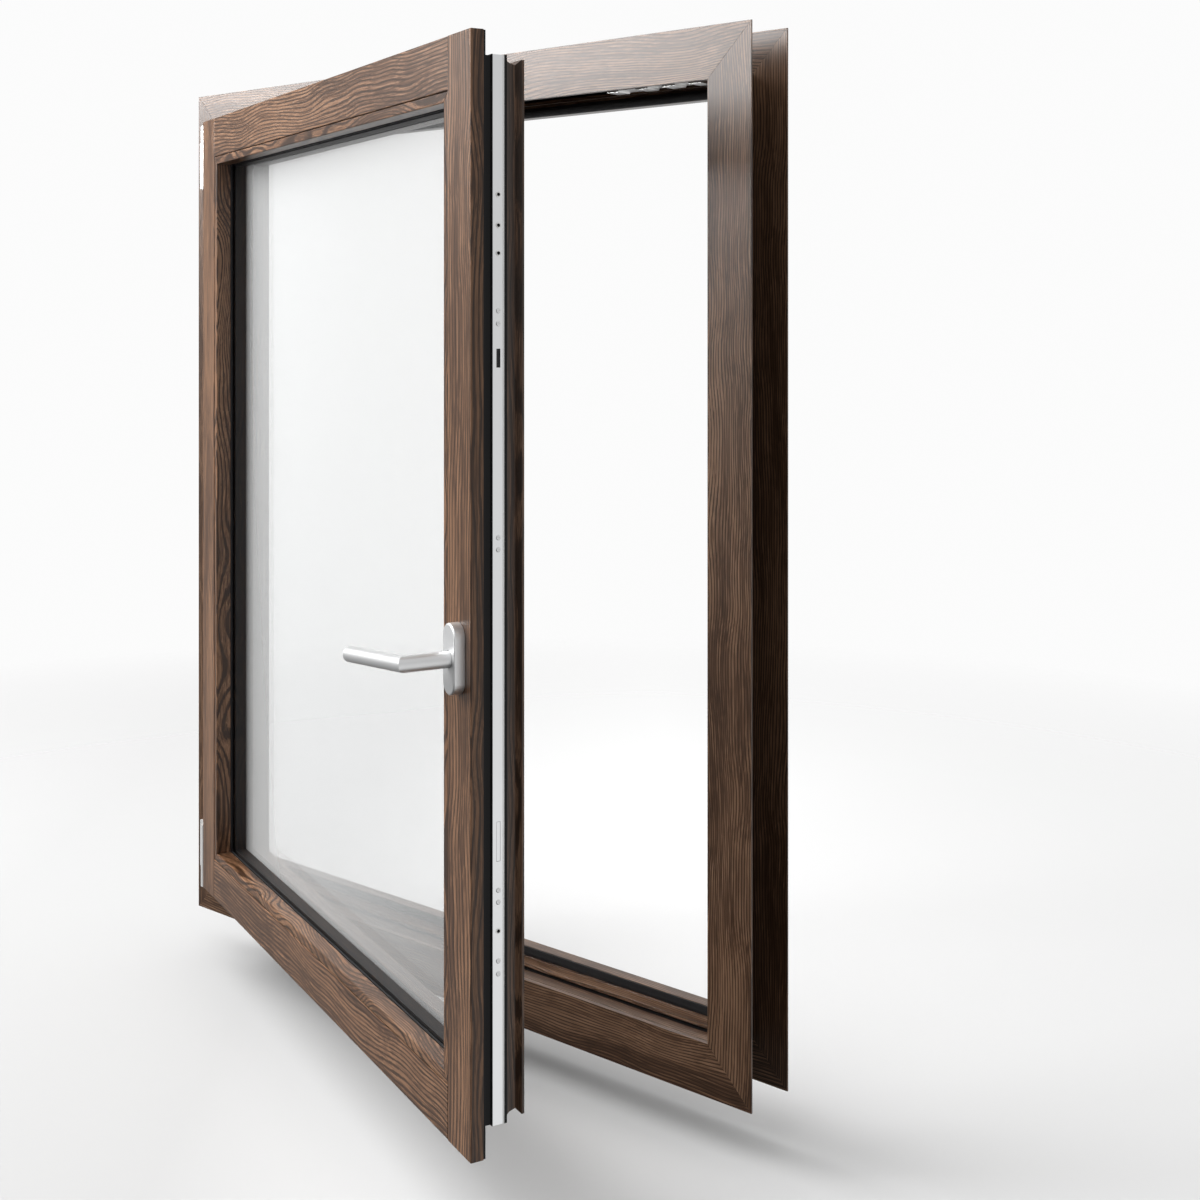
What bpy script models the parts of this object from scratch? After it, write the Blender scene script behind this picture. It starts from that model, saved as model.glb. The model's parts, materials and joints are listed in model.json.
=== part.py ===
"""Casement window, 1000 x 1200 mm, with an inward-opening side-hung sash that stands 20 degrees open.

The row frame is right-handed with +X to the right as seen from indoors, +Y to the outdoors and +Z up.
Its origin is on the underside of the sill's web, halfway along the sill.
Frame profiles are drawn in (inset, depth): inset from the frame's outer edge towards the opening, and
depth from the indoor face towards the outdoors. Sash profiles are drawn the same way from the sash's own
outer edge and its own indoor face. All lengths here are metres, written as millimetres times MM.
"""

import math

import bmesh
import bpy
from mathutils import Matrix, Vector

MM = 0.001
GAP = 0.3 * MM

# Driving dimensions.
FRAME_WIDTH = 1000 * MM
FRAME_HEIGHT = 1200 * MM
WEB_INSET = 48 * MM
SEAT_DEPTH = 9 * MM
SASH_INSET = 42 * MM
SASH_PROUD = 18 * MM
OPEN_ANGLE = math.radians(20)
STILE_WIDTH = 55 * MM
GLASS_INSET = 58 * MM
GLASS_THICKNESS = 4 * MM
INNER_GLASS_DEPTH = 23.3 * MM
OUTER_GLASS_DEPTH = 43.0 * MM

# Hinge axis, from the frame's left outer edge and its indoor face.
HINGE_INSET = 32 * MM
HINGE_PROUD = 11 * MM
BARREL_RADIUS = 7 * MM
PIN_RADIUS = 3.4 * MM
PIN_HOLE_RADIUS = 3.5 * MM
LEAF_HEIGHT = 67.5 * MM
SASH_KNUCKLE_HEIGHT = 22.5 * MM
UPPER_HINGE_BASE = 1063 * MM
LOWER_HINGE_TOP = 130 * MM

# Handle and espagnolette, from the sash's free edge and the frame's bottom edge.
HANDLE_INSET = 27
HANDLE_LEVEL = 534
HANDLE_TURN = math.radians(6)
BAR_RADIUS = 8.5 * MM
NECK_LENGTH = 60 * MM
LEVER_LENGTH = 144 * MM
PLATE_HEIGHT = 72 * MM
PLATE_WIDTH = 28 * MM
PLATE_DEPTH = 12 * MM
SPINDLE_SIDE = 5 * MM
HUB_RADIUS = 4.3 * MM
HUB_HOLE_RADIUS = 4.6 * MM
PINION_TEETH = 12
MODULE = 0.6 * MM
PITCH_RADIUS = PINION_TEETH * MODULE / 2

# The frame's box in the row frame.
LEFT = -FRAME_WIDTH / 2
RIGHT = FRAME_WIDTH / 2
BOTTOM = -WEB_INSET
TOP = BOTTOM + FRAME_HEIGHT
FACE = -SEAT_DEPTH

# The closed sash's box in the row frame.
SASH_WIDTH = FRAME_WIDTH - 2 * SASH_INSET
SASH_HEIGHT = FRAME_HEIGHT - 2 * SASH_INSET
SASH_LEFT = LEFT + SASH_INSET
SASH_BOTTOM = BOTTOM + SASH_INSET
SASH_FACE = FACE - SASH_PROUD

HINGE_AXIS = Vector((LEFT + HINGE_INSET, FACE - HINGE_PROUD, 0))
HANDLE_Z = BOTTOM + HANDLE_LEVEL * MM

SIDES = ("head", "sill", "hinge_jamb", "lock_jamb")
SASH_SIDES = ("top_rail", "bottom_rail", "hinge_stile", "lock_stile")

COLOURS = {
    "decor": ((0.105, 0.058, 0.036), 0.42, 0.0),
    "wood": ((0.125, 0.070, 0.044), 0.45, 0.0),
    "polyamide": ((0.012, 0.012, 0.012), 0.6, 0.0),
    "rubber": ((0.010, 0.010, 0.010), 0.7, 0.0),
    "glass": ((0.86, 0.90, 0.89), 0.03, 0.0),
    "spacer": ((0.05, 0.05, 0.05), 0.5, 0.0),
    "aluminium": ((0.62, 0.63, 0.64), 0.35, 1.0),
    "silver": ((0.78, 0.78, 0.79), 0.3, 1.0),
    "steel": ((0.45, 0.45, 0.46), 0.35, 1.0),
    "white_plastic": ((0.75, 0.75, 0.74), 0.4, 0.0),
}

# Turns an outline drawn in X and Y upright, so that it lies in X and Z.
UPRIGHT = Matrix(((1, 0, 0, 0), (0, 0, -1, 0), (0, 1, 0, 0), (0, 0, 0, 1)))

# Profiles in millimetres.
INNER_SHELL = [(0, 0), (60, 0), (60, 6), (58, 6), (58, 2), (50, 2), (50, 16), (55, 16), (55, 33), (48, 33),
               (48, 2), (0, 2)]
INNER_CHAMBER = [(50, 18), (53, 18), (53, 31), (50, 31)]
BREAK_BAR = [(48.3, 33.3), (54.7, 33.3), (54.7, 49.7), (48.3, 49.7)]
BREAK_CHAMBER = [(49.8, 34.8), (53.2, 34.8), (53.2, 48.2), (49.8, 48.2)]
OUTER_SHELL = [(0, 70), (48, 70), (48, 50), (58, 50), (58, 35), (62, 35), (62, 37), (60, 37), (60, 56),
               (74, 56), (74, 72), (0, 72)]
OUTER_CHAMBER = [(50, 52), (58, 52), (58, 70), (50, 70)]
UPSTAND_CHAMBER = [(60, 58), (72, 58), (72, 70), (60, 70)]
REBATE_GASKET = [(62.5, 55.7), (62.5, 54.6), (66, 53.4), (73.6, 53.4), (73.6, 55.7)]

CLADDING = [(0.7, 0), (54.4, 0), (55, 0.6), (55, 14), (0, 14), (0, 0.7)]
CORE = [(12.5, 14.3), (54, 14.3), (54, 49.7), (20, 49.7), (20, 46.6), (21.9, 46.6), (21.9, 44.7),
        (24.6, 44.7), (24.6, 35.3), (21.9, 35.3), (21.9, 33.4), (20, 33.4), (21.6, 31.6), (21.6, 17.5),
        (12.5, 17.5)]
CORE_CHAMBER = [(26.6, 20.3), (52, 20.3), (52, 47.7), (26.6, 47.7)]
COVER = [(24.3, 50.2), (26.9, 56.1), (28.3, 63), (23, 68.1), (23.4, 71), (65.2, 71), (67, 69.2), (67, 50.2)]
COVER_CHAMBER = [(30.4, 52.2), (65, 52.2), (65, 69), (30.4, 69)]
BEAD = [(56.1, 0.6), (65.3, 0.6), (66.2, 1.1), (66.5, 2.1), (66.5, 20.7), (62.5, 20.7), (62.5, 18.7),
        (57.6, 18.7), (57.6, 20.7), (55.6, 20.7), (55.6, 1.1)]
OVERLAP_GASKET = [(0.6, 14.3), (11.9, 14.3), (11.9, 16.4), (9.2, 17.6), (3.3, 17.6), (0.6, 16.4)]
INNER_GLAZING_GASKET = [(60, 21), (67.2, 21), (67.8, 23), (60, 23)]
OUTER_GLAZING_GASKET = [(60, 47.3), (67.6, 47.3), (67.2, 49.9), (60, 49.9)]
SPACER = [(58.6, 27.6), (67.9, 27.6), (67.9, 42.7), (58.6, 42.7)]


def clear_scene():
    for obj in list(bpy.data.objects):
        bpy.data.objects.remove(obj, do_unlink=True)


def new_collection(name, hidden=False):
    collection = bpy.data.collections.new(name)
    bpy.context.scene.collection.children.link(collection)
    collection.hide_render = hidden
    return collection


def material(name, finish):
    """A Principled material of its own for each part."""
    colour, roughness, metallic = COLOURS[finish]
    made = bpy.data.materials.new(name)
    made.use_nodes = True
    shader = made.node_tree.nodes["Principled BSDF"]
    shader.inputs["Base Color"].default_value = (*colour, 1)
    shader.inputs["Roughness"].default_value = roughness
    shader.inputs["Metallic"].default_value = metallic
    if finish == "glass":
        shader.inputs["Transmission Weight"].default_value = 1
    made.diffuse_color = (*colour, 1)
    return made


def add_mesh(name, mesh, finish, collection):
    obj = bpy.data.objects.new(name, mesh)
    collection.objects.link(obj)
    mesh.materials.clear()
    mesh.materials.append(material(name, finish))
    return obj


def closed_spline(curve, points):
    spline = curve.splines.new("POLY")
    spline.points.add(len(points) - 1)
    for point, (x, y) in zip(spline.points, points):
        point.co = (x, y, 0, 1)
    spline.use_cyclic_u = True


def outline_mesh(name, outlines, thickness):
    """The first outline less the others, drawn in X and Y and filled, with its thickness centred on Z = 0."""
    curve = bpy.data.curves.new(name, "CURVE")
    curve.dimensions = "2D"
    curve.fill_mode = "BOTH"
    curve.extrude = thickness / 2
    for points in outlines:
        closed_spline(curve, points)
    flat = bpy.data.objects.new(name + "_outline", curve)
    bpy.context.scene.collection.objects.link(flat)
    bpy.context.view_layer.update()
    mesh = bpy.data.meshes.new_from_object(flat.evaluated_get(bpy.context.evaluated_depsgraph_get()))
    bpy.data.objects.remove(flat, do_unlink=True)
    bpy.data.curves.remove(curve)
    shape = bmesh.new()
    shape.from_mesh(mesh)
    bmesh.ops.remove_doubles(shape, verts=shape.verts, dist=1e-6)
    bmesh.ops.recalc_face_normals(shape, faces=shape.faces)
    shape.to_mesh(mesh)
    shape.free()
    mesh.name = name
    return mesh


def in_metres(points):
    return [(x * MM, y * MM) for x, y in points]


def member_mesh(name, outlines, length, mitre):
    """A bar whose section lies in X (inset) and Y (depth) and whose length lies along Z. With a mitre, each
    end is cut back by the inset of each of its points, as four such bars meet round a rectangle."""
    mesh = outline_mesh(name, [in_metres(points) for points in outlines], length)
    if mitre:
        for vertex in mesh.vertices:
            vertex.co.z -= math.copysign(vertex.co.x, vertex.co.z)
    return mesh


def placed_on(side, box_left, box_bottom, width, height, face):
    """The matrix that stands a bar made by member_mesh on one side of a rectangle, inset towards its
    middle."""
    middle = Vector((box_left + width / 2, face, box_bottom + height / 2))
    across = {"left": (1, 0, 0), "right": (-1, 0, 0), "bottom": (0, 0, 1), "top": (0, 0, -1)}[side]
    inward = Vector(across)
    depth = Vector((0, 1, 0))
    along = inward.cross(depth)
    half = width / 2 if side in ("left", "right") else height / 2
    turn = Matrix((inward, depth, along)).transposed().to_4x4()
    return Matrix.Translation(middle - inward * half) @ turn


PLACES = {
    "head": "top", "sill": "bottom", "hinge_jamb": "left", "lock_jamb": "right",
    "top_rail": "top", "bottom_rail": "bottom", "hinge_stile": "left", "lock_stile": "right",
}


def side_members(prefix, sides, outlines, box, finish, collection, butt=0):
    """Four bars round a rectangle. They are mitred, or with a butt width the stiles run through and the rails
    stand between them."""
    box_left, box_bottom, width, height, face = box
    made = {}
    for side in sides:
        place = PLACES[side]
        upright = place in ("left", "right")
        length = height if upright else width
        if butt and not upright:
            length -= 2 * (butt + GAP)
        name = f"{prefix}_{side}"
        mesh = member_mesh(name, outlines, length, mitre=not butt)
        mesh.transform(placed_on(place, box_left, box_bottom, width, height, face))
        made[side] = add_mesh(name, mesh, finish, collection)
    return made


def trim_mitres(members):
    """Mitred bars get a hairline between them, so that neighbours never share a face."""
    for obj in members.values():
        corners = [vertex.co for vertex in obj.data.vertices]
        upright = max(c.z for c in corners) - min(c.z for c in corners) > 0.9
        axis = 2 if upright else 0
        middle = (max(c[axis] for c in corners) + min(c[axis] for c in corners)) / 2
        for vertex in obj.data.vertices:
            vertex.co[axis] -= math.copysign(GAP * 0.75, vertex.co[axis] - middle)


def ring_mesh(name, points, box):
    """A closed mitred loop of one section round a rectangle, made by turning the section through the
    corners."""
    box_left, box_bottom, width, height, face = box
    corners = ((0, 0, 1, 1), (1, 0, -1, 1), (1, 1, -1, -1), (0, 1, 1, -1))
    shape = bmesh.new()
    loops = []
    for across, up, inward_x, inward_z in corners:
        loop = []
        for inset, depth in in_metres(points):
            x = box_left + across * width + inward_x * inset
            z = box_bottom + up * height + inward_z * inset
            loop.append(shape.verts.new((x, face + depth, z)))
        loops.append(loop)
    count = len(points)
    for here, there in zip(loops, loops[1:] + loops[:1]):
        for i in range(count):
            j = (i + 1) % count
            shape.faces.new((here[i], here[j], there[j], there[i]))
    bmesh.ops.recalc_face_normals(shape, faces=shape.faces)
    mesh = bpy.data.meshes.new(name)
    shape.to_mesh(mesh)
    shape.free()
    return mesh


def box_mesh(name, low, high):
    shape = bmesh.new()
    bmesh.ops.create_cube(shape, size=1)
    size = Vector(high) - Vector(low)
    bmesh.ops.scale(shape, vec=size, verts=shape.verts)
    bmesh.ops.translate(shape, vec=(Vector(low) + Vector(high)) / 2, verts=shape.verts)
    mesh = bpy.data.meshes.new(name)
    shape.to_mesh(mesh)
    shape.free()
    return mesh


def cylinder_mesh(name, radius, start, end, segments=32):
    shape = bmesh.new()
    start, end = Vector(start), Vector(end)
    span = end - start
    bmesh.ops.create_cone(shape, cap_ends=True, segments=segments, radius1=radius, radius2=radius,
                          depth=span.length)
    turn = span.to_track_quat("Z", "Y").to_matrix().to_4x4()
    bmesh.ops.transform(shape, matrix=Matrix.Translation((start + end) / 2) @ turn, verts=shape.verts)
    mesh = bpy.data.meshes.new(name)
    shape.to_mesh(mesh)
    shape.free()
    return mesh


def cut(obj, mesh, cutters, operation="DIFFERENCE"):
    tool = bpy.data.objects.new(f"{obj.name}_{operation.lower()}_{len(obj.modifiers)}", mesh)
    cutters.objects.link(tool)
    tool.hide_render = True
    tool.display_type = "WIRE"
    modifier = obj.modifiers.new(operation.title(), "BOOLEAN")
    modifier.operation = operation
    modifier.solver = "EXACT"
    modifier.object = tool
    return tool


def arc(centre, radius, start, stop, steps):
    """Points along an arc, angles in degrees."""
    points = []
    for i in range(steps + 1):
        angle = math.radians(start + (stop - start) * i / steps)
        points.append((centre[0] + radius * math.cos(angle), centre[1] + radius * math.sin(angle)))
    return points


def circle(centre, radius, steps=32):
    return arc(centre, radius, 0, 360 * (steps - 1) / steps, steps - 1)


def set_on_axis(obj, point):
    """Moves the object's origin onto a point without moving its shape."""
    obj.data.transform(Matrix.Translation(-Vector(point)))
    obj.location = point


# The sash in its closed place: positions are given by the distance from its free edge, by the depth from
# its indoor face and by the height above the frame's bottom edge.
def sash_point(inset, depth, height):
    return Vector((SASH_LEFT + SASH_WIDTH - inset * MM, SASH_FACE + depth * MM, BOTTOM + height * MM))


def sash_box(name, insets, depths, heights):
    one = sash_point(insets[0], depths[0], heights[0])
    other = sash_point(insets[1], depths[1], heights[1])
    low = [min(a, b) for a, b in zip(one, other)]
    high = [max(a, b) for a, b in zip(one, other)]
    return box_mesh(name, low, high)


def axle_point(depth):
    """A point on the handle's axis, given its depth behind the sash's indoor face in millimetres."""
    return sash_point(HANDLE_INSET, depth, HANDLE_LEVEL)


def axle_span(half):
    """The insets and the heights of a square round the handle's axis, given half its side in millimetres."""
    insets = (HANDLE_INSET - half, HANDLE_INSET + half)
    heights = (HANDLE_LEVEL - half, HANDLE_LEVEL + half)
    return insets, heights


def frame_point(inset, depth, height):
    """From the frame's lock-side outer edge, in millimetres."""
    return Vector((RIGHT - inset * MM, FACE + depth * MM, BOTTOM + height * MM))


def build_frame(parts, cutters):
    box = (LEFT, BOTTOM, FRAME_WIDTH, FRAME_HEIGHT, FACE)
    inner = side_members("inner_shell", SIDES, [INNER_SHELL, INNER_CHAMBER], box, "decor", parts)
    bars = side_members("thermal_break", SIDES, [BREAK_BAR, BREAK_CHAMBER], box, "polyamide", parts)
    outer = side_members("outer_shell", SIDES, [OUTER_SHELL, OUTER_CHAMBER, UPSTAND_CHAMBER], box, "decor",
                         parts)
    for members in (inner, bars, outer):
        trim_mitres(members)
    made = [*inner.values(), *bars.values(), *outer.values()]
    made.append(add_mesh("rebate_gasket", ring_mesh("rebate_gasket", REBATE_GASKET, box), "rubber", parts))
    made.append(build_head_keeper(parts, cutters))
    made.append(build_sill_keeper(parts, cutters))
    return made


HEAD_KEEPER_SHAPE = [(61.5, 3.8), (74, 3.9), (75, 6.7), (92, 6.6), (93, 4.2), (112, 4.4), (113, 6.5),
                     (131, 6.7), (132, 4.3), (152, 4.1), (153, 6.6), (170, 6.4), (171, 5), (196, 5.2),
                     (197, 6.7), (214, 6.5), (214, 0.3), (61.5, 0.5)]


def build_head_keeper(parts, cutters):
    """The keeper bar on the head: a base strip with blocks, and a socket for the upper rod at its lock end.
    Its side shape is drawn as (distance from the lock jamb's outer edge, drop below the rebate)."""
    points = [(-x * MM, -drop * MM) for x, drop in HEAD_KEEPER_SHAPE]
    mesh = outline_mesh("head_keeper", [points], 22 * MM)
    mesh.transform(Matrix.Translation((RIGHT, FACE + 19 * MM, TOP - 55 * MM)) @ UPRIGHT)
    keeper = add_mesh("head_keeper", mesh, "silver", parts)
    socket = box_mesh("head_socket", frame_point(66.6, 17.2, 1136), frame_point(63.2, 26.8, 1143.6))
    cut(keeper, socket, cutters)
    return keeper


def build_sill_keeper(parts, cutters):
    """The corner keeper: a plate up the lock jamb's rebate and a foot along the sill that takes the lower
    rod."""
    shape = [(55.3, 55.3), (67.8, 55.3), (67.8, 61.5), (60, 61.5), (60, 90), (55.3, 90)]
    points = [(-x * MM, z * MM) for x, z in shape]
    mesh = outline_mesh("sill_keeper", [points], 16 * MM)
    mesh.transform(Matrix.Translation((RIGHT, FACE + 22 * MM, BOTTOM)) @ UPRIGHT)
    keeper = add_mesh("sill_keeper", mesh, "silver", parts)
    socket = box_mesh("sill_socket", frame_point(66.6, 17.2, 56.4), frame_point(63.2, 26.8, 63))
    cut(keeper, socket, cutters)
    return keeper


def build_sash(parts, cutters):
    box = (SASH_LEFT, SASH_BOTTOM, SASH_WIDTH, SASH_HEIGHT, SASH_FACE)
    cladding = side_members("cladding", SASH_SIDES, [CLADDING], box, "wood", parts, butt=STILE_WIDTH)
    core = side_members("core", SASH_SIDES, [CORE, CORE_CHAMBER], box, "polyamide", parts)
    cover = side_members("cover", SASH_SIDES, [COVER, COVER_CHAMBER], box, "decor", parts)
    beads = side_members("bead", SASH_SIDES, [BEAD], box, "wood", parts)
    for members in (core, cover, beads):
        trim_mitres(members)
    made = [*cladding.values(), *core.values(), *cover.values(), *beads.values()]
    rings = (
        ("overlap_gasket", OVERLAP_GASKET, "rubber"),
        ("inner_glazing_gasket", INNER_GLAZING_GASKET, "rubber"),
        ("outer_glazing_gasket", OUTER_GLAZING_GASKET, "rubber"),
        ("glass_spacer", SPACER, "spacer"),
    )
    for name, points, finish in rings:
        made.append(add_mesh(name, ring_mesh(name, points, box), finish, parts))
    made += build_glass(parts)
    made += build_lock_edge(parts, cutters)
    spindle_hole = cylinder_mesh("spindle_hole", HUB_HOLE_RADIUS, axle_point(-2), axle_point(36))
    cut(cladding["lock_stile"], spindle_hole, cutters)
    cut(core["lock_stile"], spindle_hole.copy(), cutters)
    pocket = sash_box("gearbox_pocket", (23.5, 28), (33.7, 46.9), (502, 566))
    cut(core["lock_stile"], pocket, cutters)
    return made


def build_glass(parts):
    made = []
    low_x = SASH_LEFT + GLASS_INSET
    high_x = SASH_LEFT + SASH_WIDTH - GLASS_INSET
    low_z = SASH_BOTTOM + GLASS_INSET
    high_z = SASH_BOTTOM + SASH_HEIGHT - GLASS_INSET
    for name, depth in (("inner_pane", INNER_GLASS_DEPTH), ("outer_pane", OUTER_GLASS_DEPTH)):
        low = (low_x, SASH_FACE + depth, low_z)
        high = (high_x, SASH_FACE + depth + GLASS_THICKNESS, high_z)
        made.append(add_mesh(name, box_mesh(name, low, high), "glass", parts))
    for name, share in (("setting_block_hinge", 0.2), ("setting_block_lock", 0.8)):
        x = low_x + share * (high_x - low_x)
        floor = SASH_BOTTOM + 54 * MM + GAP
        low = (x - 40 * MM, SASH_FACE + 23 * MM, floor)
        high = (x + 40 * MM, SASH_FACE + 47.2 * MM, low_z - GAP)
        made.append(add_mesh(name, box_mesh(name, low, high), "white_plastic", parts))
    return made


FACEPLATE_HOLES = (997, 966, 938, 257)
FACEPLATE_SCREWS = (880, 867, 652, 640, 298, 286, 227, 214)


def build_lock_edge(parts, cutters):
    """The faceplate on the sash's free edge, with its holes, its slot and the flush insert, the gearbox and
    the handle's plate."""
    half = 6.3
    left, right = (-half * MM, half * MM)
    bottom, top = (BOTTOM + 62.5 * MM, BOTTOM + 1137.5 * MM)
    outlines = [[(left, bottom), (right, bottom), (right, top), (left, top)]]
    for height in FACEPLATE_HOLES:
        outlines.append(circle((0, BOTTOM + height * MM), 2 * MM, 16))
    for height in FACEPLATE_SCREWS:
        outlines.append(circle((0, BOTTOM + height * MM), 1.7 * MM, 12))
    for low, high, width in ((823, 842, 4.4), (327, 367, 4.6)):
        w = width / 2 * MM
        z0, z1 = (BOTTOM + low * MM, BOTTOM + high * MM)
        outlines.append([(-w, z0), (w, z0), (w, z1), (-w, z1)])
    mesh = outline_mesh("faceplate", outlines, 1.6 * MM)
    # Drawn in X and Y; stood up so that its width lies in depth and its thickness across the edge.
    stand = Matrix(((0, 0, 1, 0), (1, 0, 0, 0), (0, 1, 0, 0), (0, 0, 0, 1)))
    mesh.transform(stand)
    middle = sash_point(20.8, 40, 0)
    mesh.transform(Matrix.Translation((middle.x, middle.y, 0)))
    made = [add_mesh("faceplate", mesh, "aluminium", parts)]
    insert = sash_box("faceplate_insert", (20.1, 21.6), (38, 42), (327.3, 366.7))
    made.append(add_mesh("faceplate_insert", insert, "aluminium", parts))
    made.append(build_gearbox(parts, cutters))
    made.append(build_handle_plate(parts))
    return made


def build_gearbox(parts, cutters):
    """A channel round the pinion and the two racks, open towards the faceplate and at both ends."""
    section = [(24.9, 34), (34, 34), (34, 46), (24.9, 46), (24.9, 44.8), (32.6, 44.8), (32.6, 35.2),
               (24.9, 35.2)]
    points = []
    for inset, depth in section:
        here = sash_point(inset, depth, 0)
        points.append((here.x, here.y))
    mesh = outline_mesh("gearbox_case", [points], 60 * MM)
    mesh.transform(Matrix.Translation((0, 0, HANDLE_Z)))
    case = add_mesh("gearbox_case", mesh, "steel", parts)
    hub_hole = cylinder_mesh("hub_hole", HUB_HOLE_RADIUS, axle_point(32), axle_point(36))
    cut(case, hub_hole, cutters)
    stub_hole = cylinder_mesh("stub_hole", 2.6 * MM, axle_point(43), axle_point(48))
    cut(case, stub_hole, cutters)
    return case


def build_handle_plate(parts):
    """The stadium plate behind the handle, with its outer edge rounded."""
    radius = PLATE_WIDTH / 2
    reach = PLATE_HEIGHT / 2 - radius
    outline = arc((0, reach), radius, 0, 180, 16) + arc((0, -reach), radius, 180, 360, 16)
    mesh = outline_mesh("handle_plate", [outline, circle((0, 0), 9 * MM)], PLATE_DEPTH - GAP)
    shape = bmesh.new()
    shape.from_mesh(mesh)
    rim = []
    for edge in shape.edges:
        ends = [vertex.co for vertex in edge.verts]
        on_front = all(end.z < 0 for end in ends)
        outside = all(end.xy.length > 10 * MM for end in ends)
        if on_front and outside and abs(edge.calc_face_angle(0)) > 1:
            rim.append(edge)
    bmesh.ops.bevel(shape, geom=rim, offset=2 * MM, segments=3, affect="EDGES", profile=0.5)
    shape.to_mesh(mesh)
    shape.free()
    # Drawn in X and Y with its front at -Z; stood up so that its front looks indoors.
    mesh.transform(Matrix(((1, 0, 0, 0), (0, 0, 1, 0), (0, 1, 0, 0), (0, 0, 0, 1))))
    mesh.flip_normals()
    middle = axle_point(0) - Vector((0, (PLATE_DEPTH + GAP) / 2, 0))
    mesh.transform(Matrix.Translation(middle))
    return add_mesh("handle_plate", mesh, "silver", parts)


def build_handle(parts, cutters):
    """The round bar: a neck out of the plate and a lever, joined by a mitred elbow, with the spindle and the
    pinion behind it."""
    start = axle_point(-4)
    elbow = axle_point(0) - Vector((0, NECK_LENGTH, 0))
    shape = bmesh.new()
    bmesh.ops.create_cone(shape, cap_ends=True, segments=40, radius1=BAR_RADIUS, radius2=BAR_RADIUS,
                          depth=(start - elbow).length)
    turn = (start - elbow).to_track_quat("Z", "Y").to_matrix().to_4x4()
    bmesh.ops.transform(shape, matrix=Matrix.Translation((start + elbow) / 2) @ turn, verts=shape.verts)
    end = [vertex for vertex in shape.verts if vertex.co.y < (start.y + elbow.y) / 2]
    for vertex in end:
        vertex.co.y -= vertex.co.x - elbow.x
    caps = [face for face in shape.faces if len(face.verts) > 4]
    cap = min(caps, key=lambda face: face.calc_center_median().y)
    grown = bmesh.ops.extrude_face_region(shape, geom=[cap])
    tip = [item for item in grown["geom"] if isinstance(item, bmesh.types.BMVert)]
    for vertex in tip:
        vertex.co.x = elbow.x - LEVER_LENGTH
    bmesh.ops.delete(shape, geom=[cap], context="FACES_ONLY")
    end_x = elbow.x - LEVER_LENGTH
    rim = [edge for edge in shape.edges if all(abs(vertex.co.x - end_x) < 1e-6 for vertex in edge.verts)]
    bmesh.ops.bevel(shape, geom=rim, offset=0.8 * MM, segments=2, affect="EDGES", profile=0.5)
    bmesh.ops.recalc_face_normals(shape, faces=shape.faces)
    mesh = bpy.data.meshes.new("handle")
    shape.to_mesh(mesh)
    shape.free()
    handle = add_mesh("handle", mesh, "aluminium", parts)
    half = SPINDLE_SIDE / 2 / MM
    clear = half + 0.3
    socket = sash_box("handle_socket", axle_span(clear)[0], (-22, -3), axle_span(clear)[1])
    cut(handle, socket, cutters)
    spindle = sash_box("spindle", axle_span(half)[0], (-21.5, 33.5), axle_span(half)[1])
    spindle = add_mesh("spindle", spindle, "steel", parts)
    return [handle, spindle, build_pinion(parts, cutters)]


def build_pinion(parts, cutters):
    """The hub that takes the spindle, the small gear in front of the racks and its bearing stub, in one."""
    centre = axle_point(0)
    tip, root = (PITCH_RADIUS + 0.95 * MODULE, PITCH_RADIUS - 1.35 * MODULE)
    pitch_angle = 360 / PINION_TEETH
    outline = []
    for tooth in range(PINION_TEETH):
        middle = tooth * pitch_angle
        for radius, offset in ((root, -9.5), (tip, -3.2), (tip, 3.2), (root, 9.5)):
            angle = math.radians(middle + offset)
            outline.append((radius * math.cos(angle), radius * math.sin(angle)))
    mesh = outline_mesh("drive_pinion", [outline], 8.4 * MM)
    mesh.transform(Matrix.Translation(centre + Vector((0, 40 * MM, 0))) @ UPRIGHT)
    pinion = add_mesh("drive_pinion", mesh, "steel", parts)
    hub = cylinder_mesh("pinion_hub", HUB_RADIUS, axle_point(26), axle_point(35.5))
    shaft = cylinder_mesh("pinion_shaft", 2.2 * MM, axle_point(34.6), axle_point(46.4), 16)
    for piece in (shaft, hub):
        cut(pinion, piece, cutters, "UNION")
    clear = SPINDLE_SIDE / 2 / MM + 0.3
    socket = sash_box("pinion_socket", axle_span(clear)[0], (25, 33.8), axle_span(clear)[1])
    cut(pinion, socket, cutters)
    return pinion


def rack_outline(pitch_inset, side, low, high, back):
    """The outline of a toothed bar in (inset, height), millimetres. side is +1 where the teeth point to
    larger insets, and the tooth gaps are centred on the pinion's height plus half a pitch."""
    pitch = math.pi * MODULE / MM
    add, ded = (0.85 * MODULE / MM, 1.25 * MODULE / MM)
    half_tip, half_root = (pitch * 0.13, pitch * 0.34)
    crest = pitch_inset + side * add
    floor = pitch_inset - side * ded
    first = math.ceil((low - HANDLE_LEVEL) / pitch)
    last = math.floor((high - HANDLE_LEVEL) / pitch) - 1
    points = [(back, high), (back, low), (floor, low)]
    for index in range(first, last + 1):
        middle = HANDLE_LEVEL + (index + 0.5) * pitch
        points += [(floor, middle - half_root), (crest, middle - half_tip), (crest, middle + half_tip),
                   (floor, middle + half_root)]
    points.append((floor, high))
    return points


def rod_mesh(name, outline):
    """A flat bar drawn in (inset, height) on the lock edge, 8.4 mm wide in depth."""
    points = []
    for inset, height in outline:
        here = sash_point(inset, 0, height)
        points.append((here.x, here.z))
    mesh = outline_mesh(name, [points], 8.4 * MM)
    mesh.transform(Matrix.Translation((0, SASH_FACE + 40 * MM, 0)) @ UPRIGHT)
    return mesh


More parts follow.
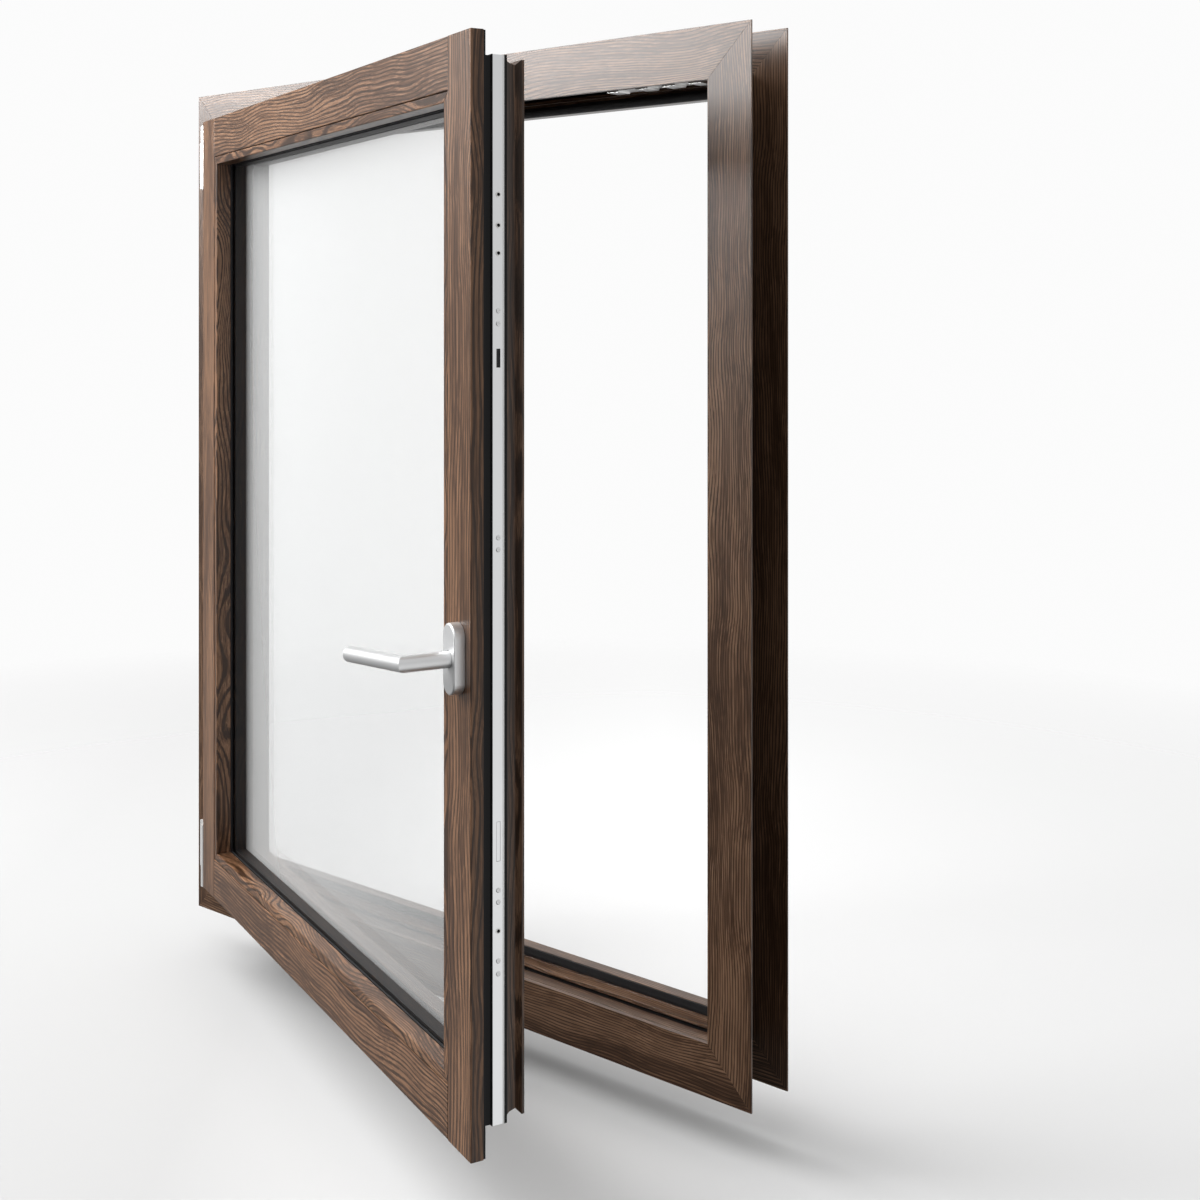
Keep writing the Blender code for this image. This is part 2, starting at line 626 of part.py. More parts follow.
def build_rods(parts):
    """The upper rod lies on the free-edge side of the pinion and rises to lock. The lower rod's rack lies on
    its other side, so it sinks, and a bridge brings it back behind the faceplate."""
    near = HANDLE_INSET - PITCH_RADIUS / MM
    far = HANDLE_INSET + PITCH_RADIUS / MM
    upper = rack_outline(near, 1, 525.2, 546, 21.9)
    upper_points = [(21.9, 525.2)] + upper[2:] + [(23.9, 546), (23.9, 1137.2), (21.9, 1137.2)]
    lower = rack_outline(far, -1, 521.5, 545, 32.1)
    lower_points = [(32.1, 518)] + [(32.1, 545)] + list(reversed(lower[3:]))
    lower_points += [(31, 521.5), (23.9, 521.5), (21.9, 521.5), (21.9, 62.8), (23.9, 62.8), (23.9, 518)]
    upper_rod = add_mesh("upper_rod", rod_mesh("upper_rod", upper_points), "steel", parts)
    lower_rod = add_mesh("lower_rod", rod_mesh("lower_rod", lower_points), "steel", parts)
    # Drawn with the lever level; the pinion's turn has moved them apart by its pitch radius times the angle.
    upper_rod.location.z = PITCH_RADIUS * HANDLE_TURN
    lower_rod.location.z = -PITCH_RADIUS * HANDLE_TURN
    return [upper_rod, lower_rod]


def build_hinges(parts, cutters):
    """Two surface hinges. Each frame leaf carries a long knuckle, and each sash leaf a short one beyond
    it."""
    frame_parts, sash_parts = ([], [])
    upper_low = BOTTOM + UPPER_HINGE_BASE
    upper_high = upper_low + LEAF_HEIGHT
    lower_high = BOTTOM + LOWER_HINGE_TOP
    lower_low = lower_high - LEAF_HEIGHT
    spans = {
        "upper": ((upper_low, upper_high), (upper_high + GAP, upper_high + GAP + SASH_KNUCKLE_HEIGHT)),
        "lower": ((lower_low, lower_high), (lower_low - GAP - SASH_KNUCKLE_HEIGHT, lower_low - GAP)),
    }
    for name, (frame_span, sash_span) in spans.items():
        frame_leaf = knuckle(f"{name}_hinge_frame_leaf", frame_span, parts)
        plate = box_mesh("plate", (HINGE_AXIS.x - 24 * MM, FACE - 3.3 * MM, frame_span[0]),
                         (HINGE_AXIS.x - 2 * MM, FACE - GAP, frame_span[1]))
        cut(frame_leaf, plate, cutters, "UNION")
        arm = box_mesh("arm", (HINGE_AXIS.x - 6.6 * MM, FACE - 9 * MM, frame_span[0]),
                       (HINGE_AXIS.x - 4 * MM, FACE - 1 * MM, frame_span[1]))
        cut(frame_leaf, arm, cutters, "UNION")
        sash_leaf = knuckle(f"{name}_hinge_sash_leaf", sash_span, parts)
        tab = box_mesh("tab", (HINGE_AXIS.x + 5 * MM, SASH_FACE + 2 * MM, sash_span[0]),
                       (HINGE_AXIS.x + 9.7 * MM, SASH_FACE + 12.5 * MM, sash_span[1]))
        cut(sash_leaf, tab, cutters, "UNION")
        frame_parts.append(frame_leaf)
        sash_parts.append(sash_leaf)
        low = min(frame_span[0], sash_span[0])
        high = max(frame_span[1], sash_span[1])
        axis = Vector((HINGE_AXIS.x, HINGE_AXIS.y, 0))
        pin = cylinder_mesh(f"{name}_hinge_pin", PIN_RADIUS, axis + Vector((0, 0, low)),
                            axis + Vector((0, 0, high)))
        frame_parts.append(add_mesh(f"{name}_hinge_pin", pin, "steel", parts))
    return frame_parts, sash_parts


def knuckle(name, span, parts):
    outlines = [circle((0, 0), BARREL_RADIUS), circle((0, 0), PIN_HOLE_RADIUS)]
    mesh = outline_mesh(name, outlines, span[1] - span[0])
    mesh.transform(Matrix.Translation((HINGE_AXIS.x, HINGE_AXIS.y, (span[0] + span[1]) / 2)))
    return add_mesh(name, mesh, "silver", parts)


def hang(objects, empty):
    """Parents the objects to the empty and keeps them where they are."""
    for obj in objects:
        obj.parent = empty
        obj.matrix_parent_inverse = empty.matrix_world.inverted()


def pivot(name, location, parts):
    empty = bpy.data.objects.new(name, None)
    empty.location = location
    parts.objects.link(empty)
    bpy.context.view_layer.update()
    return empty


def cutter_objects(objects):
    found = []
    for obj in objects:
        found += [modifier.object for modifier in obj.modifiers if modifier.type == "BOOLEAN"]
    return found


def main():
    clear_scene()
    parts = new_collection("casement_window")
    cutters = new_collection("cutters", hidden=True)
    build_frame(parts, cutters)
    sash = build_sash(parts, cutters)
    handle = build_handle(parts, cutters)
    rods = build_rods(parts)
    _, sash_hinges = build_hinges(parts, cutters)

    sash_pivot = pivot("sash_pivot", HINGE_AXIS, parts)
    handle_pivot = pivot("handle_pivot", axle_point(0), parts)
    hang(handle + cutter_objects(handle), handle_pivot)
    still = sash + sash_hinges + rods
    hang(still + cutter_objects(still) + [handle_pivot], sash_pivot)
    handle_pivot.rotation_euler = (0, -HANDLE_TURN, 0)
    sash_pivot.rotation_euler = (0, 0, -OPEN_ANGLE)


main()
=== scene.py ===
import json
import math

import bmesh
import bpy
from mathutils import Matrix, Vector


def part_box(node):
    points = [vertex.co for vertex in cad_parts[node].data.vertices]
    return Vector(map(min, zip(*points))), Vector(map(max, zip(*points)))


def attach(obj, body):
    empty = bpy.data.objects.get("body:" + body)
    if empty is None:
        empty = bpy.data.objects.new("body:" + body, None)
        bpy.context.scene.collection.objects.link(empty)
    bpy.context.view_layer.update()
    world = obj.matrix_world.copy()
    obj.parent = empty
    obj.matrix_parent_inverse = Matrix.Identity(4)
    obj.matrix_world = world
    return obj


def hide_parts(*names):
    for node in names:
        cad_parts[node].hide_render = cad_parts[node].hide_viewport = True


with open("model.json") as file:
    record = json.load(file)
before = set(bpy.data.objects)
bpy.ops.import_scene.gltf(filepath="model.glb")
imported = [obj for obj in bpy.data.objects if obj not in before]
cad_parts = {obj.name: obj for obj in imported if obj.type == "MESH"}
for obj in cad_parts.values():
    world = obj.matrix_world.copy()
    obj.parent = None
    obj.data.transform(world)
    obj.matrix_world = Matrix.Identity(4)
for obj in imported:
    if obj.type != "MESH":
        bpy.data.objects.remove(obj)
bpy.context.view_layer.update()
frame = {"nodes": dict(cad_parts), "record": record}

MM = 0.001
OPEN = math.radians(20)
JOINTS = {joint["name"]: joint for joint in frame["record"]["behaviour"]["joints"]}
HINGE = Vector(JOINTS["sash_swing"]["pos_m"])

# The frame's bottom corner on the hinge side and its indoor face, and its lock-side edge, from the packed
# parts.
LOW = Vector((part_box("inner_shell_hinge_jamb")[0].x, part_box("inner_shell_sill")[0].y,
              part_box("inner_shell_sill")[0].z))
LOCK_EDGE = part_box("inner_shell_lock_jamb")[1].x
SASH_INSET = 42 * MM
SASH_PROUD = 18 * MM

# Heights above the frame's bottom edge, in millimetres.
RIVET_HEIGHTS = (880, 867, 652, 640, 298, 286, 227, 214)
HOLE_HEIGHTS = (997, 966, 938, 257)
FACEPLATE_ENDS = (62.5, 1137.5)
CATCHES = {"upper": (1040, 1100), "lower": (146, 234)}

# Turned profiles as (radius, height) points in millimetres.
RIVET = [(0, 0.25), (0.7, 0.3), (0.9, 0.75), (1.7, 0.7), (2.35, 0.45), (2.6, 0)]
EYELET = [(1.7, 0.05), (1.8, 0.4), (2.2, 0.55), (2.7, 0.4), (2.9, 0)]
# A black disc set down inside each faceplate hole, as painted shade in its depth.
HOLE_SHADE_DISC = [(0, -1.1), (1.65, -1.1), (1.9, -1.45)]

# The camera's place from LOW, its heading, and the lens shift that keeps the uprights parallel.
CAMERA_PLACE = Vector((2.057, -1.499, 0.874))
CAMERA_HEADING = math.radians(40.38)
CAMERA_SHIFT = -0.236

FLOOR_DROP = 60 * MM
FLOOR_REACH = 12

# Linear colours of the walnut.
STREAK = (0.020, 0.009, 0.004)
DARK = (0.058, 0.030, 0.017)
MIDDLE = (0.118, 0.064, 0.037)
LIGHT = (0.185, 0.106, 0.064)


# ---------------------------------------------------------------- places

def sash_matrix():
    """From the closed sash's place to where it stands open at rest."""
    turn = Matrix.Rotation(-OPEN, 4, "Z")
    return Matrix.Translation(HINGE) @ turn @ Matrix.Translation(-HINGE)


def sash_point(inset, depth, height):
    """A closed-sash point from its free edge, its indoor face and the frame's bottom edge, in millimetres."""
    return frame_point(inset, depth, height) - Vector((SASH_INSET, SASH_PROUD, 0))


def frame_point(inset, depth, height):
    """A frame point from its lock-side outer edge, its indoor face and its bottom edge, in millimetres."""
    return Vector((LOCK_EDGE - inset * MM, LOW.y + depth * MM, LOW.z + height * MM))


# ---------------------------------------------------------------- materials

class Nodes:
    """A short way to add nodes and links to a material's tree."""

    def __init__(self, name):
        self.material = bpy.data.materials.new(name)
        self.material.use_nodes = True
        self.tree = self.material.node_tree
        self.shader = self.tree.nodes["Principled BSDF"]

    def add(self, kind, **settings):
        node = self.tree.nodes.new(kind)
        for key, value in settings.items():
            setattr(node, key, value)
        return node

    def link(self, output, target):
        self.tree.links.new(output, target)

    def set(self, **values):
        for key, value in values.items():
            socket = self.shader.inputs[key.replace("_", " ")]
            socket.default_value = (*value, 1) if isinstance(value, tuple) and len(value) == 3 else value

    def place(self):
        return self.add("ShaderNodeTexCoord").outputs["Object"]

    def mapped(self, source, scale=(1, 1, 1), location=(0, 0, 0), rotation=(0, 0, 0)):
        node = self.add("ShaderNodeMapping")
        node.inputs["Scale"].default_value = scale
        node.inputs["Location"].default_value = location
        node.inputs["Rotation"].default_value = rotation
        self.link(source, node.inputs["Vector"])
        return node.outputs["Vector"]

    def noise(self, source, scale, detail=3, roughness=0.5):
        node = self.add("ShaderNodeTexNoise")
        node.inputs["Scale"].default_value = 1
        node.inputs["Detail"].default_value = detail
        node.inputs["Roughness"].default_value = roughness
        self.link(self.mapped(source, scale), node.inputs["Vector"])
        return node.outputs["Fac"]

    def ramp(self, source, stops):
        """Stops are (place, colour) pairs, and a colour may be one grey level."""
        node = self.add("ShaderNodeValToRGB")
        ramp = node.color_ramp
        while len(ramp.elements) < len(stops):
            ramp.elements.new(0.5)
        for element, (place, colour) in zip(ramp.elements, stops):
            element.position = place
            element.color = (*colour, 1) if isinstance(colour, tuple) else (colour, colour, colour, 1)
        self.link(source, node.inputs["Fac"])
        return node.outputs["Color"]

    def math(self, operation, first, second=0.0, third=None):
        node = self.add("ShaderNodeMath", operation=operation)
        for socket, value in zip(node.inputs, (first, second, third)):
            if value is None:
                continue
            if isinstance(value, (int, float)):
                socket.default_value = value
            else:
                self.link(value, socket)
        return node.outputs["Value"]

    def mix(self, factor, first, second, blend="MIX"):
        node = self.add("ShaderNodeMix", data_type="RGBA", blend_type=blend)
        for socket, value in ((node.inputs[0], factor), (node.inputs[6], first), (node.inputs[7], second)):
            if isinstance(value, (int, float)):
                socket.default_value = value
            elif isinstance(value, tuple):
                socket.default_value = (*value, 1)
            else:
                self.link(value, socket)
        return node.outputs[2]

    def bump(self, height, strength, distance):
        node = self.add("ShaderNodeBump")
        node.inputs["Strength"].default_value = strength
        node.inputs["Distance"].default_value = distance
        self.link(height, node.inputs["Height"])
        self.link(node.outputs["Normal"], self.shader.inputs["Normal"])


def grain_place(nodes, along, open_sash, shift, figure):
    """Object coordinates turned so that the grain runs along X, with slow waves that bend it sideways."""
    place = nodes.place()
    if open_sash:
        place = nodes.mapped(place, rotation=(0, 0, OPEN))
    if along == "Z":
        place = nodes.mapped(place, rotation=(0, math.radians(90), 0))
    place = nodes.mapped(place, location=shift)
    drift = nodes.noise(place, (6, 10, 10), detail=1)
    sway = nodes.math("MULTIPLY", nodes.math("SUBTRACT", drift, 0.5), 0.012 + 0.030 * figure)
    offset = nodes.add("ShaderNodeCombineXYZ")
    nodes.link(sway, offset.inputs["Y"])
    nodes.link(sway, offset.inputs["Z"])
    bent = nodes.add("ShaderNodeVectorMath", operation="ADD")
    nodes.link(place, bent.inputs[0])
    nodes.link(offset.outputs["Vector"], bent.inputs[1])
    return bent.outputs["Vector"]


def ring_waves(nodes, bent, figure, pitch):
    """A wave across the grain, one for each growth ring, drawn out into nested arches by a slow swell."""
    across = nodes.add("ShaderNodeSeparateXYZ")
    nodes.link(bent, across.inputs[0])
    swell = nodes.noise(bent, (3.5, 22, 22), detail=1)
    phase = nodes.math("MULTIPLY", nodes.math("ADD", across.outputs["Y"], across.outputs["Z"]),
                       2 * math.pi / (pitch * MM))
    phase = nodes.math("MULTIPLY_ADD", swell, 16 + 60 * figure, phase)
    return nodes.math("SINE", phase)


def walnut(name, along, open_sash, shift, figure, tone=(1, 1, 1), pitch=3.4):
    """Walnut with its grain along X or Z. Figure 0 is straight grain, and 1 is strongly wavy.

    The shift moves the pattern, so that no two members look alike. The pitch is the spacing of the growth
    rings in millimetres.
    """
    nodes = Nodes(name)
    bent = grain_place(nodes, along, open_sash, shift, figure)
    waves = ring_waves(nodes, bent, figure, pitch)
    streaks = nodes.noise(bent, (9, 560, 560), detail=3, roughness=0.75)
    cloud = nodes.noise(bent, (2.5, 40, 40), detail=2)
    fibres = nodes.noise(bent, (30, 850, 850), detail=1)
    tint = nodes.math("MULTIPLY_ADD", nodes.math("SUBTRACT", cloud, 0.5), 0.6, streaks)
    colour = nodes.ramp(tint, [(0.41, DARK), (0.49, MIDDLE), (0.57, LIGHT)])
    # The rings are thin dark lines, broken up by the streaks.
    broken = nodes.math("MULTIPLY_ADD", nodes.math("SUBTRACT", streaks, 0.5), 5.0, waves)
    lines = nodes.ramp(broken, [(0.30, 0.0), (0.60, 0.85 + 0.10 * figure)])
    colour = nodes.mix(lines, colour, STREAK)
    colour = nodes.mix(0.5, colour, nodes.ramp(fibres, [(0.30, 0.2), (0.70, 0.8)]), "SOFT_LIGHT")
    colour = nodes.mix(1.0, colour, tone, "MULTIPLY")
    nodes.link(colour, nodes.shader.inputs["Base Color"])
    nodes.link(nodes.math("MULTIPLY_ADD", streaks, 0.14, 0.24), nodes.shader.inputs["Roughness"])
    nodes.set(Specular_IOR_Level=0.42)
    nodes.bump(nodes.math("ADD", streaks, nodes.math("MULTIPLY", fibres, 0.4)), 0.12, 0.0002)
    return nodes.material


def clouded(nodes, colour, darkest, cloud):
    """A base colour that goes softly down to a part of itself."""
    low = tuple(darkest * c for c in colour)
    nodes.link(nodes.mix(cloud, low, colour), nodes.shader.inputs["Base Color"])


def metal(name, colour, roughness, grain_scale=(1200, 1200, 1200), metallic=1.0):
    """Metal with a fine surface grain, which a low scale along one axis draws out into brush marks."""
    nodes = Nodes(name)
    place = nodes.place()
    grain = nodes.noise(place, grain_scale, detail=3)
    clouded(nodes, colour, 0.94, nodes.noise(place, (9, 9, 9), detail=2))
    nodes.link(nodes.math("MULTIPLY_ADD", grain, 0.10, roughness - 0.05), nodes.shader.inputs["Roughness"])
    nodes.set(Metallic=metallic)
    nodes.bump(grain, 0.06, 0.0001)
    return nodes.material


def matt(name, colour, roughness):
    """Plastic or rubber with a fine surface grain."""
    nodes = Nodes(name)
    place = nodes.place()
    grain = nodes.noise(place, (1200, 1200, 1200), detail=2)
    cloud = nodes.noise(place, (14, 14, 14), detail=3)
    clouded(nodes, colour, 0.75, cloud)
    nodes.link(nodes.math("MULTIPLY_ADD", cloud, 0.12, roughness - 0.06), nodes.shader.inputs["Roughness"])
    nodes.set(Specular_IOR_Level=0.25)
    nodes.bump(grain, 0.15, 0.0001)
    return nodes.material


def glass(name, colour, straight, grazing, metallic):
    """Glass that you see through. Its pale sheen grows from straight view to grazing view."""
    nodes = Nodes(name)
    facing = nodes.add("ShaderNodeLayerWeight")
    facing.inputs["Blend"].default_value = 0.5
    sheen = nodes.math("POWER", facing.outputs["Facing"], 5.0)
    sheen = nodes.math("MULTIPLY_ADD", sheen, grazing, straight)
    nodes.link(nodes.math("MINIMUM", sheen, 0.6), nodes.shader.inputs["Alpha"])
    clouded(nodes, colour, 0.97, nodes.noise(nodes.place(), (3, 3, 3), detail=1))
    nodes.set(Metallic=metallic, Roughness=0.0)
    return nodes.material


def make_materials():
    """The finishes apart from the walnut, by the short names that dress_rest uses."""
    return {
        "rubber": matt("black_rubber", (0.010, 0.010, 0.011), 0.6),
        "core": matt("black_core", (0.008, 0.008, 0.009), 0.6),
        "spacer": matt("black_spacer", (0.02, 0.02, 0.021), 0.5),
        "block": matt("block_plastic", (0.7, 0.7, 0.68), 0.5),
        "plate": metal("faceplate_grey", (0.86, 0.87, 0.88), 0.36, (20, 20, 600)),
        "silver": metal("bright_silver", (0.93, 0.93, 0.92), 0.30, (800, 800, 800), 0.6),
        "satin": metal("satin_silver", (0.80, 0.805, 0.81), 0.42, (600, 600, 600), 0.9),
        "steel": metal("zinc_steel", (0.5, 0.5, 0.5), 0.36),
        "clear": glass("clear_glazing", (0.96, 0.97, 0.97), 0.012, 0.25, 1.0),
        "coated": glass("coated_glazing", (0.60, 0.61, 0.61), 0.03, 2.6, 0.0),
        # Near-black steel for the rods and the gearbox case, so that what shows through the faceplate's holes
        # is painted shade.
        "hole_shade_steel": metal("hole_shade_steel", (0.05, 0.05, 0.052), 0.5),
    }


# ---------------------------------------------------------------- mesh tools

def new_object(name, shape, material, angle=35):
    """An object from a finished bmesh, shaded smooth up to an angle in degrees."""
    mesh = bpy.data.meshes.new(name)
    shape.to_mesh(mesh)
    shape.free()
    obj = bpy.data.objects.new(name, mesh)
    bpy.context.scene.collection.objects.link(obj)
    finish_mesh(mesh, material, angle)
    return obj


def finish_mesh(mesh, material, angle=35):
    """One material and smooth shading, except across edges sharper than an angle in degrees."""
    mesh.materials.clear()
    mesh.materials.append(material)
    mesh.shade_smooth()
    mesh.set_sharp_from_angle(angle=math.radians(angle))


def eased(node, body, material, width, longer=(0, 0, 0)):
    """A copy of a CAD part whose edges are eased by a width, standing for that part.

    Longer is how far the copy's faces move out at each end, along X, Y and Z.
    """
    shape = bmesh.new()
    shape.from_mesh(frame["nodes"][node].data)
    bmesh.ops.remove_doubles(shape, verts=shape.verts, dist=1e-6)
    bmesh.ops.dissolve_limit(shape, angle_limit=math.radians(1), verts=shape.verts, edges=shape.edges)
    sharp = [e for e in shape.edges if len(e.link_faces) == 2 and e.calc_face_angle(0) > math.radians(28)]
    bmesh.ops.bevel(shape, geom=sharp, offset=width, segments=2, profile=0.5, affect="EDGES",
                    clamp_overlap=True)
    low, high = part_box(node)
    for axis, growth in enumerate(longer):
        middle = (low[axis] + high[axis]) / 2
        for vertex in shape.verts:
            vertex.co[axis] += growth * (vertex.co[axis] - middle) / (high[axis] - middle)
    obj = new_object(f"{node}_face", shape, material)
    # The easing's rounded normals stay off the flat faces.
    flat = obj.modifiers.new("flat_faces", "WEIGHTED_NORMAL")
    flat.keep_sharp = True
    flat.weight = 100
    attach(obj, body)
    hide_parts(node)


# ---------------------------------------------------------------- the window

def dress_wood():
    """Every wood-patterned member, each with its grain along its own length."""
    spot = 0
    for layer in ("inner_shell", "outer_shell"):
        for side in ("head", "sill", "hinge_jamb", "lock_jamb"):
            spot += 1
            along = "X" if side in ("head", "sill") else "Z"
            shift = (0.37 * spot, 0.11 * spot, 0.07 * spot)
            finish = walnut(f"decor_{layer}_{side}", along, False, shift, 0.12)
            # Each face grows by a hair along its length, which closes the corner joints to the eye.
            longer = (0.2 * MM, 0, 0) if along == "X" else (0, 0, 0.2 * MM)
            eased(f"{layer}_{side}", "frame", finish, 0.15 * MM, longer)
    # Slot, figure, tone, width of the eased edges, and ring pitch of the rails and the stiles.
    layers = {
        "cladding": ("sash_wood", 0.15, (1.30, 1.20, 1.07), 0.6, 4.6, 6.0),
        "bead": ("sash_wood", 0.9, (1.28, 1.17, 1.03), 1.1, 7.0, 7.0),
        "cover": ("decor_aluminium", 0.15, (1, 1, 1), 0.5, 4.6, 6.0),
    }
    for layer, (slot, figure, tone, easing, rail_pitch, stile_pitch) in layers.items():
        for side in ("top_rail", "bottom_rail", "hinge_stile", "lock_stile"):
            spot += 1
            along, pitch = ("X", rail_pitch) if side.endswith("rail") else ("Z", stile_pitch)
            shift = (0.41 * spot, 0.13 * spot, 0.05 * spot)
            finish = walnut(f"{layer}_{side}_wood", along, True, shift, figure, tone, pitch)
            eased(f"{layer}_{side}", "sash", finish, easing * MM)


def dress_rest(mats):
    """The finishes of the parts that keep their CAD shape."""
    finishes = {
        "rubber": ("rebate_gasket", "overlap_gasket", "inner_glazing_gasket", "outer_glazing_gasket"),
        "core": ("core_top_rail", "core_bottom_rail", "core_hinge_stile", "core_lock_stile",
                 "thermal_break_head", "thermal_break_sill", "thermal_break_hinge_jamb",
                 "thermal_break_lock_jamb"),
        "spacer": ("glass_spacer",),
        "block": ("setting_block_hinge", "setting_block_lock"),
        "plate": ("faceplate", "faceplate_insert"),
        "silver": ("head_keeper", "sill_keeper", "upper_hinge_frame_leaf", "lower_hinge_frame_leaf",
                   "upper_hinge_sash_leaf", "lower_hinge_sash_leaf"),
        "satin": ("handle", "handle_plate"),
        "steel": ("spindle", "drive_pinion", "upper_hinge_pin", "lower_hinge_pin"),
        "clear": ("inner_pane",),
        "coated": ("outer_pane",),
        # The rods and the gearbox case are near black: painted shade behind the faceplate's holes.
        "hole_shade_steel": ("upper_rod", "lower_rod", "gearbox_case"),
    }
    for finish, nodes in finishes.items():
        for node in nodes:
            finish_mesh(frame["nodes"][node].data, mats[finish])


def lathe(name, profile, centre, axis, body, material):
    """A turned piece from (radius, height) points in millimetres, standing on the centre along the axis."""
    shape = bmesh.new()
    ring = [shape.verts.new((radius * MM, 0, height * MM)) for radius, height in profile]
    edges = [shape.edges.new(pair) for pair in zip(ring, ring[1:])]
    bmesh.ops.spin(shape, geom=ring + edges, cent=(0, 0, 0), axis=(0, 0, 1), angle=2 * math.pi, steps=24,
                   use_merge=True)
    bmesh.ops.remove_doubles(shape, verts=shape.verts, dist=1e-6)
    bmesh.ops.recalc_face_normals(shape, faces=shape.faces)
    turn = Vector(axis).to_track_quat("Z", "Y").to_matrix().to_4x4()
    bmesh.ops.transform(shape, matrix=Matrix.Translation(centre) @ turn, verts=shape.verts)
    obj = new_object(name, shape, material, 40)
    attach(obj, body)


def block(name, low, high, place, body, slot, material, ease=0.3):
    """A box between two corners, moved by the place matrix, with its edges eased by some millimetres."""
    shape = bmesh.new()
    bmesh.ops.create_cube(shape, size=1)
    low, high = Vector(low), Vector(high)
    fitted = Matrix.Translation((low + high) / 2) @ Matrix.Diagonal((*(high - low), 1))
    bmesh.ops.transform(shape, matrix=place @ fitted, verts=shape.verts)
    bmesh.ops.bevel(shape, geom=shape.edges, offset=ease * MM, segments=2, affect="EDGES", profile=0.5)
    bmesh.ops.recalc_face_normals(shape, faces=shape.faces)
    obj = new_object(name, shape, material)
    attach(obj, body)


def dress_faceplate(mats):
    """The rivets, the eyelets, black discs set in the holes as painted shade, and a bright silver strip along
    the outdoor edge as a painted edge highlight.
    """
    stand = sash_matrix()
    outward = stand.to_3x3() @ Vector((1, 0, 0))
    for height in RIVET_HEIGHTS:
        lathe(f"faceplate_rivet_{height}", RIVET, stand @ sash_point(20, 40, height), outward, "sash",
              mats["satin"])
    for height in HOLE_HEIGHTS:
        seat = stand @ sash_point(20, 40, height)
        lathe(f"faceplate_eyelet_{height}", EYELET, seat, outward, "sash", mats["silver"])
        # A black disc inside the hole: painted shade.
        lathe(f"faceplate_hole_shade_{height}", HOLE_SHADE_DISC, seat, outward, "sash", mats["core"])
    foot, top = FACEPLATE_ENDS
    # A bright silver strip on the faceplate's outdoor edge: a painted edge highlight.
    block("faceplate_highlight_strip", sash_point(20.1, 45.2, foot), sash_point(19.3, 46.3, top), stand, "sash",
          "bright_silver", mats["silver"], 0.2)


def dress_hinge_jamb(mats):
    """The two catches on the hinge jamb's rebate that the sash closes over."""
    still = Matrix.Identity(4)
    bright = ("frame", "bright_silver", mats["silver"])
    for name, (foot, top) in CATCHES.items():
        block(f"{name}_catch_plate", frame_point(939.7, 39, foot), frame_point(937.9, 52, top), still, *bright)
        for end, height in (("foot", foot + 6), ("head", top - 6)):
            lathe(f"{name}_catch_screw_{end}", RIVET, frame_point(937.9, 45.5, height), (1, 0, 0), "frame",
                  mats["satin"])
        middle = (foot + top) / 2
        block(f"{name}_catch_nose", frame_point(938, 42, middle - 13), frame_point(936.2, 48, middle + 13),
              still, *bright)


# ---------------------------------------------------------------- stage, light and camera

def build_stage():
    """A pale floor that fades out into the white surroundings some metres away."""
    shape = bmesh.new()
    bmesh.ops.create_grid(shape, x_segments=1, y_segments=1, size=FLOOR_REACH)
    nodes = Nodes("pale_floor")
    nodes.set(Roughness=0.9, Specular_IOR_Level=0.0)
    place = nodes.place()
    # Greyer on the side where the lights stand, so that the lit floor comes out even.
    side = nodes.add("ShaderNodeVectorMath", operation="DOT_PRODUCT")
    nodes.link(place, side.inputs[0])
    side.inputs[1].default_value = (0.693, 0.589, 0)
    greys = [(0.0, 0.42), (0.43, 0.48), (0.66, 0.61), (1.0, 0.74)]
    nodes.link(nodes.ramp(nodes.math("ADD", side.outputs["Value"], 0.68), greys),
               nodes.shader.inputs["Base Color"])
    away = nodes.add("ShaderNodeVectorMath", operation="LENGTH")
    nodes.link(place, away.inputs[0])
    nodes.link(nodes.ramp(nodes.math("MULTIPLY", away.outputs["Value"], 0.1), [(0.05, 1.0), (0.27, 0.0)]),
               nodes.shader.inputs["Alpha"])
    floor = new_object("floor", shape, nodes.material)
    floor.location = (0, 0, LOW.z - FLOOR_DROP)
    floor.visible_glossy = False
    floor.visible_diffuse = False


def area_light(name, place, target, size, watts):
    data = bpy.data.lights.new(name, "AREA")
    data.shape = "RECTANGLE"
    data.size, data.size_y = size
    data.energy = watts
    light = bpy.data.objects.new(name, data)
    bpy.context.scene.collection.objects.link(light)
    light.location = place
    light.rotation_euler = (Vector(target) - Vector(place)).to_track_quat("-Z", "Y").to_euler()
    return light


